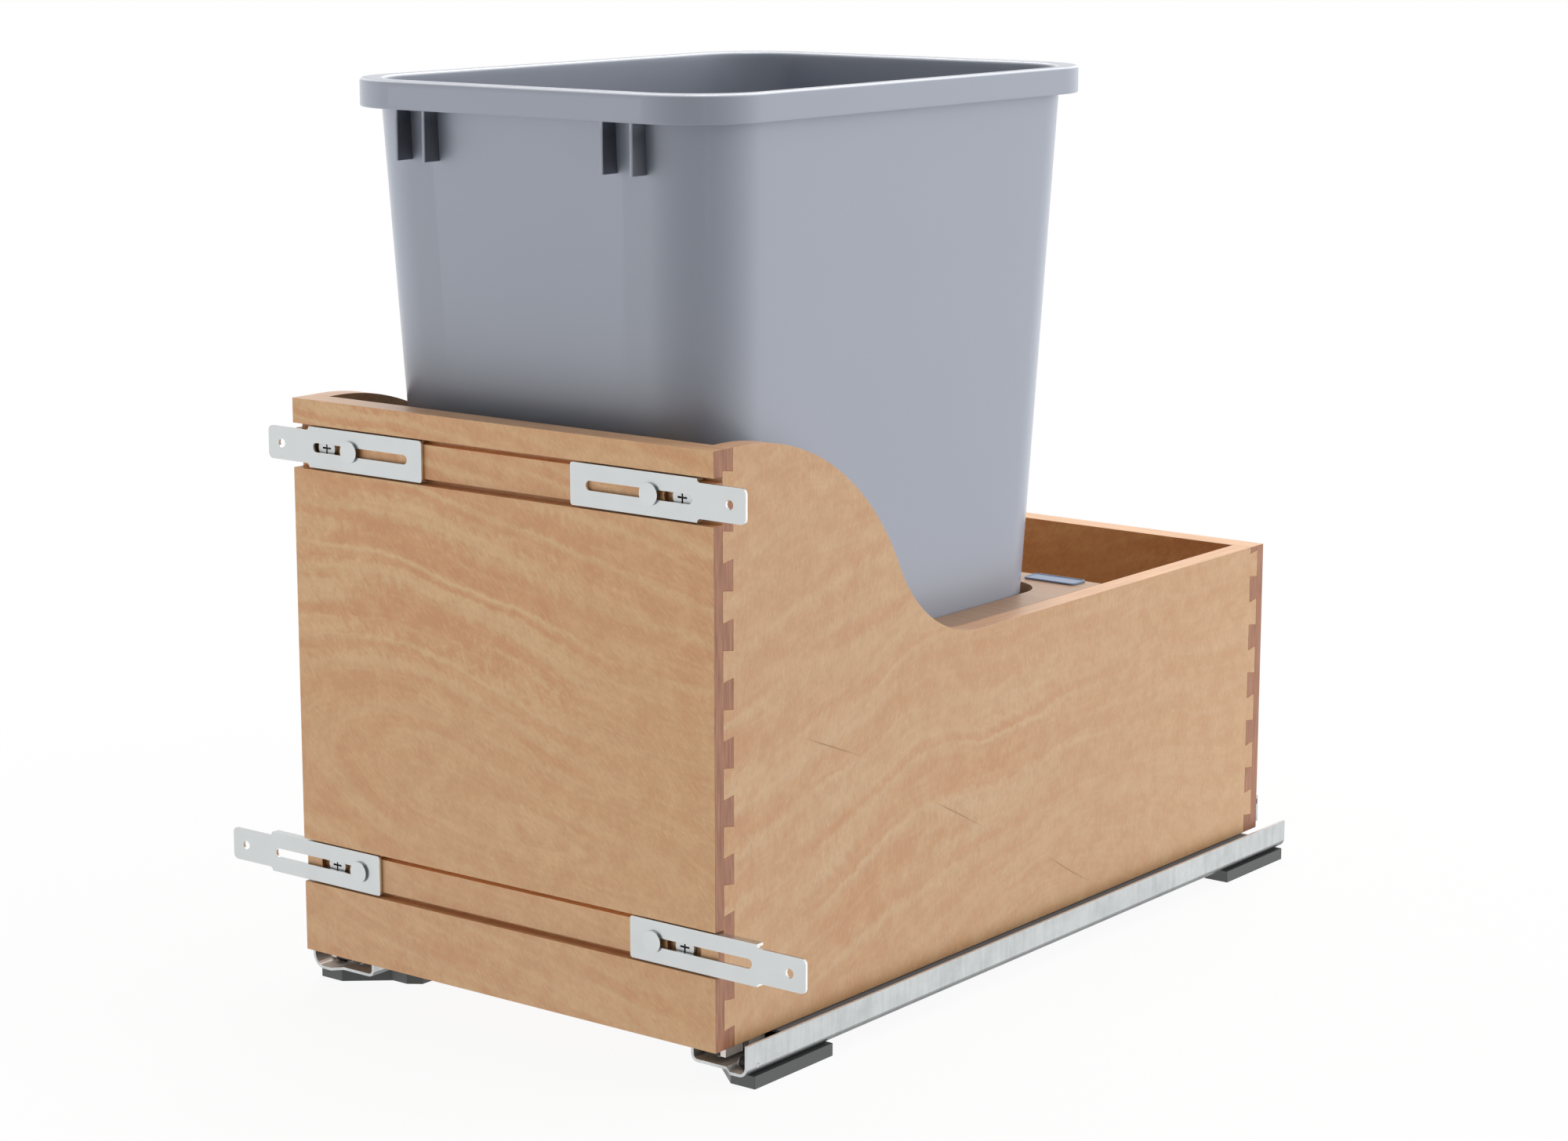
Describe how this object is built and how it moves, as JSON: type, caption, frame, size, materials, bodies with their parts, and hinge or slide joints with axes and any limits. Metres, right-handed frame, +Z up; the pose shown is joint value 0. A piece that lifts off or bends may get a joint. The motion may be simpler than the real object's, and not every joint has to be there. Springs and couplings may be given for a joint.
{
  "type": "pull-out waste cabinet unit",
  "caption": "Dovetailed wooden pull-out box with a tall grey waste bin, an open rear compartment, slotted door brackets and full-extension undermount runners.",
  "frame": {"origin": "bottom centre of the closed unit, on the cabinet floor", "axes": "+X to the right as seen from the door side, +Y from the door side to the back of the cabinet, +Z up"},
  "size_m": [0.3982, 0.554, 0.496],
  "materials": {
    "maple": "satin lacquer",
    "panel": "satin lacquer",
    "grey_plastic": "smooth moulded",
    "bracket_steel": "bright zinc plate",
    "galvanised": "galvanised",
    "black_plastic": "moulded",
    "badge": "pressed, bare"
  },
  "bodies": {
    "runner_base": {"cabinet_channel_right": "galvanised", "cabinet_channel_left": "galvanised", "floor_block_front_right": "black_plastic", "floor_block_rear_right": "black_plastic", "floor_block_front_left": "black_plastic", "floor_block_rear_left": "black_plastic", "block_screw_front_right": "galvanised", "block_screw_rear_right": "galvanised", "block_screw_front_left": "galvanised", "block_screw_rear_left": "galvanised", "roller_pin_right": "galvanised", "roller_pin_left": "galvanised", "damper_housing_right": "black_plastic", "damper_housing_left": "black_plastic", "damper_cylinder_right": "galvanised", "damper_cylinder_left": "galvanised"},
    "box": {"front_board": "maple", "back_board": "maple", "side_board_right": "maple", "side_board_left": "maple", "bottom_panel": "panel", "bin_shelf": "maple", "badge_plate": "badge", "drawer_rail_right": "galvanised", "drawer_rail_left": "galvanised", "rail_end_cap_right": "black_plastic", "rail_end_cap_left": "black_plastic", "locking_clip_right": "black_plastic", "locking_clip_left": "black_plastic", "clip_screw_right": "galvanised", "clip_screw_left": "galvanised", "hook_plate_right": "galvanised", "hook_plate_left": "galvanised", "hook_screw_right": "galvanised", "hook_screw_left": "galvanised", "clamp_stud_upper_right": "bracket_steel", "clamp_stud_upper_left": "bracket_steel", "clamp_stud_lower_right": "bracket_steel", "clamp_stud_lower_left": "bracket_steel", "lock_screw_upper_right": "bracket_steel", "lock_screw_upper_left": "bracket_steel", "lock_screw_lower_right": "bracket_steel", "lock_screw_lower_left": "bracket_steel"},
    "bin": {"waste_bin": "grey_plastic"},
    "mid_rail_right": {"mid_rail_right": "galvanised"},
    "lower_carriage_right": {"lower_carriage_right": "black_plastic"},
    "upper_carriage_right": {"upper_carriage_right": "black_plastic"},
    "front_roller_right": {"front_roller_right": "black_plastic"},
    "clip_lever_right": {"clip_lever_right": "black_plastic"},
    "damper_catch_right": {"damper_catch_right": "black_plastic"},
    "door_bracket_upper_right": {"door_bracket_upper_right": "bracket_steel"},
    "door_bracket_lower_right": {"door_bracket_lower_right": "bracket_steel"},
    "mid_rail_left": {"mid_rail_left": "galvanised"},
    "lower_carriage_left": {"lower_carriage_left": "black_plastic"},
    "upper_carriage_left": {"upper_carriage_left": "black_plastic"},
    "front_roller_left": {"front_roller_left": "black_plastic"},
    "clip_lever_left": {"clip_lever_left": "black_plastic"},
    "damper_catch_left": {"damper_catch_left": "black_plastic"},
    "door_bracket_upper_left": {"door_bracket_upper_left": "bracket_steel"},
    "door_bracket_lower_left": {"door_bracket_lower_left": "bracket_steel"}
  },
  "joints": [
    {"name": "box_slide", "type": "slide", "parent": "runner_base", "child": "box", "axis": [0, -1, 0], "range_m": [0, 0.508]},
    {"name": "bin_lift", "type": "slide", "parent": "box", "child": "bin", "axis": [0, 0, 1], "range_m": [0, 0.46]},
    {"name": "mid_rail_slide_right", "type": "slide", "parent": "runner_base", "child": "mid_rail_right", "axis": [0, -1, 0], "range_m": [0, 0.254]},
    {"name": "lower_carriage_slide_right", "type": "slide", "parent": "runner_base", "child": "lower_carriage_right", "axis": [0, -1, 0], "range_m": [0, 0.127]},
    {"name": "upper_carriage_slide_right", "type": "slide", "parent": "mid_rail_right", "child": "upper_carriage_right", "axis": [0, -1, 0], "range_m": [0, 0.127]},
    {"name": "front_roller_spin_right", "type": "hinge", "parent": "runner_base", "child": "front_roller_right", "pos_m": [0.1448, -0.25365, 0.0122], "axis": [1, 0, 0], "continuous": true},
    {"name": "clip_lever_swing_right", "type": "hinge", "parent": "box", "child": "clip_lever_right", "pos_m": [0.1, -0.21615, 0.0217], "axis": [0, 0, -1], "range_deg": [0, 15], "stiffness_Nm_per_rad": 0.3},
    {"name": "damper_catch_slide_right", "type": "slide", "parent": "runner_base", "child": "damper_catch_right", "axis": [0, -1, 0], "range_m": [0, 0.04]},
    {"name": "door_bracket_upper_right_slide", "type": "slide", "parent": "box", "child": "door_bracket_upper_right", "axis": [1, 0, 0], "range_m": [-0.0235, 0.038]},
    {"name": "door_bracket_lower_right_slide", "type": "slide", "parent": "box", "child": "door_bracket_lower_right", "axis": [1, 0, 0], "range_m": [-0.0595, 0.0015]},
    {"name": "mid_rail_slide_left", "type": "slide", "parent": "runner_base", "child": "mid_rail_left", "axis": [0, -1, 0], "range_m": [0, 0.254]},
    {"name": "lower_carriage_slide_left", "type": "slide", "parent": "runner_base", "child": "lower_carriage_left", "axis": [0, -1, 0], "range_m": [0, 0.127]},
    {"name": "upper_carriage_slide_left", "type": "slide", "parent": "mid_rail_left", "child": "upper_carriage_left", "axis": [0, -1, 0], "range_m": [0, 0.127]},
    {"name": "front_roller_spin_left", "type": "hinge", "parent": "runner_base", "child": "front_roller_left", "pos_m": [-0.14255, -0.24915, 0.0122], "axis": [1, 0, 0], "continuous": true},
    {"name": "clip_lever_swing_left", "type": "hinge", "parent": "box", "child": "clip_lever_left", "pos_m": [-0.1, -0.21615, 0.0217], "axis": [0, 0, 1], "range_deg": [0, 15], "stiffness_Nm_per_rad": 0.3},
    {"name": "damper_catch_slide_left", "type": "slide", "parent": "runner_base", "child": "damper_catch_left", "axis": [0, -1, 0], "range_m": [0, 0.04]},
    {"name": "door_bracket_upper_left_slide", "type": "slide", "parent": "box", "child": "door_bracket_upper_left", "axis": [-1, 0, 0], "range_m": [-0.0235, 0.038]},
    {"name": "door_bracket_lower_left_slide", "type": "slide", "parent": "box", "child": "door_bracket_lower_left", "axis": [-1, 0, 0], "range_m": [-0.0595, 0.0015]}
  ],
  "couplings": [
    {"joint": "mid_rail_slide_right", "follows": "box_slide", "ratio": 0.5},
    {"joint": "lower_carriage_slide_right", "follows": "box_slide", "ratio": 0.25},
    {"joint": "upper_carriage_slide_right", "follows": "box_slide", "ratio": 0.25},
    {"joint": "mid_rail_slide_left", "follows": "box_slide", "ratio": 0.5},
    {"joint": "lower_carriage_slide_left", "follows": "box_slide", "ratio": 0.25},
    {"joint": "upper_carriage_slide_left", "follows": "box_slide", "ratio": 0.25}
  ]
}
